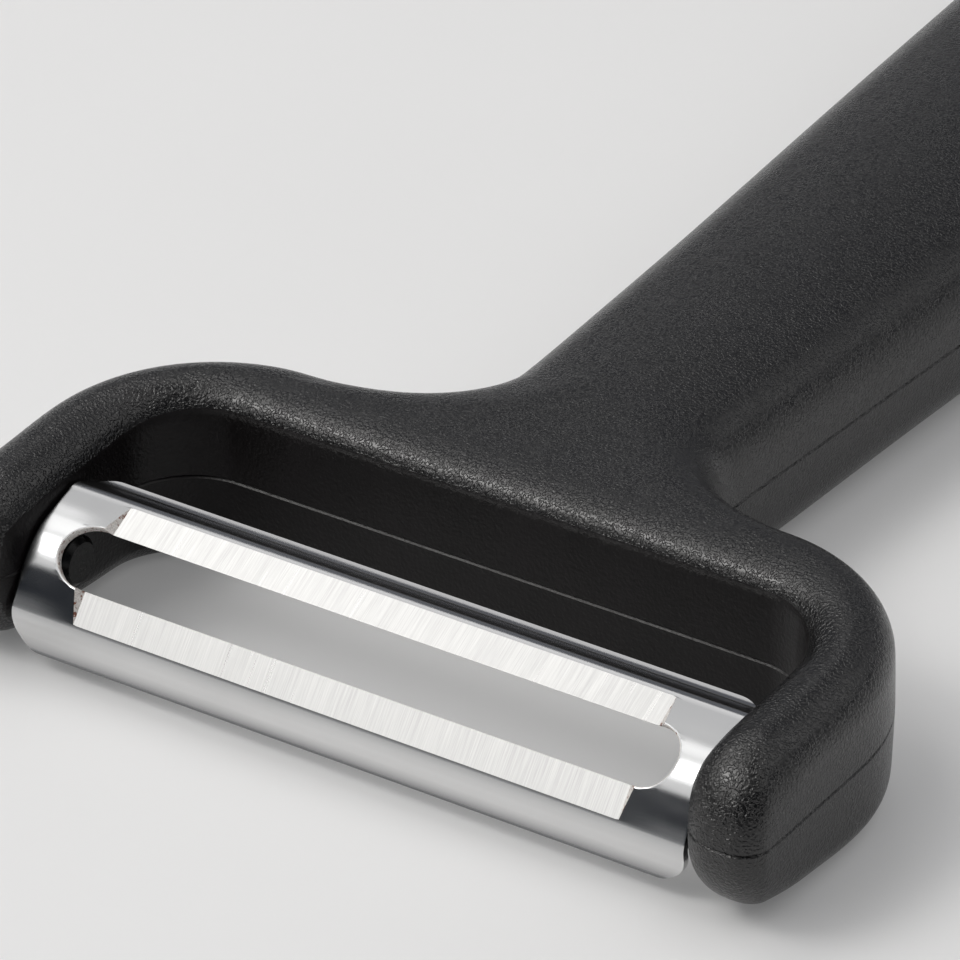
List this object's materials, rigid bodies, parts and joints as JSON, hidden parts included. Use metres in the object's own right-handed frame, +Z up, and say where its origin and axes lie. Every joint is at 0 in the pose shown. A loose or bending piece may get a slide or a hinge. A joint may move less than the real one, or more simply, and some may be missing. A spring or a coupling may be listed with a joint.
{
  "type": "vegetable peeler",
  "caption": "Wide Y-shaped vegetable peeler: a swivelling double-edged steel blade between the arms of a two-part black handle with a flared grip and a hanging hole.",
  "frame": {"origin": "on the flat underside, below the middle of the part's box", "axes": "+X along the blade to the right arm, +Y from the blade to the end of the handle, +Z up from the underside"},
  "size_m": [0.072, 0.165, 0.0155],
  "materials": {
    "handle_plastic": "fine spark-eroded grain",
    "blade_steel": "bright rolled strip with cross-ground bevels",
    "pin_plastic": "smooth moulded"
  },
  "bodies": {
    "handle": {"upper_shell": "handle_plastic", "lower_shell": "handle_plastic", "pivot_pin_left": "pin_plastic", "pivot_pin_right": "pin_plastic"},
    "blade": {"blade": "blade_steel"}
  },
  "joints": [
    {"name": "blade_swivel", "type": "hinge", "parent": "handle", "child": "blade", "pos_m": [0, -0.0755, 0.0074], "axis": [1, 0, 0], "range_deg": [-14, 115]}
  ]
}
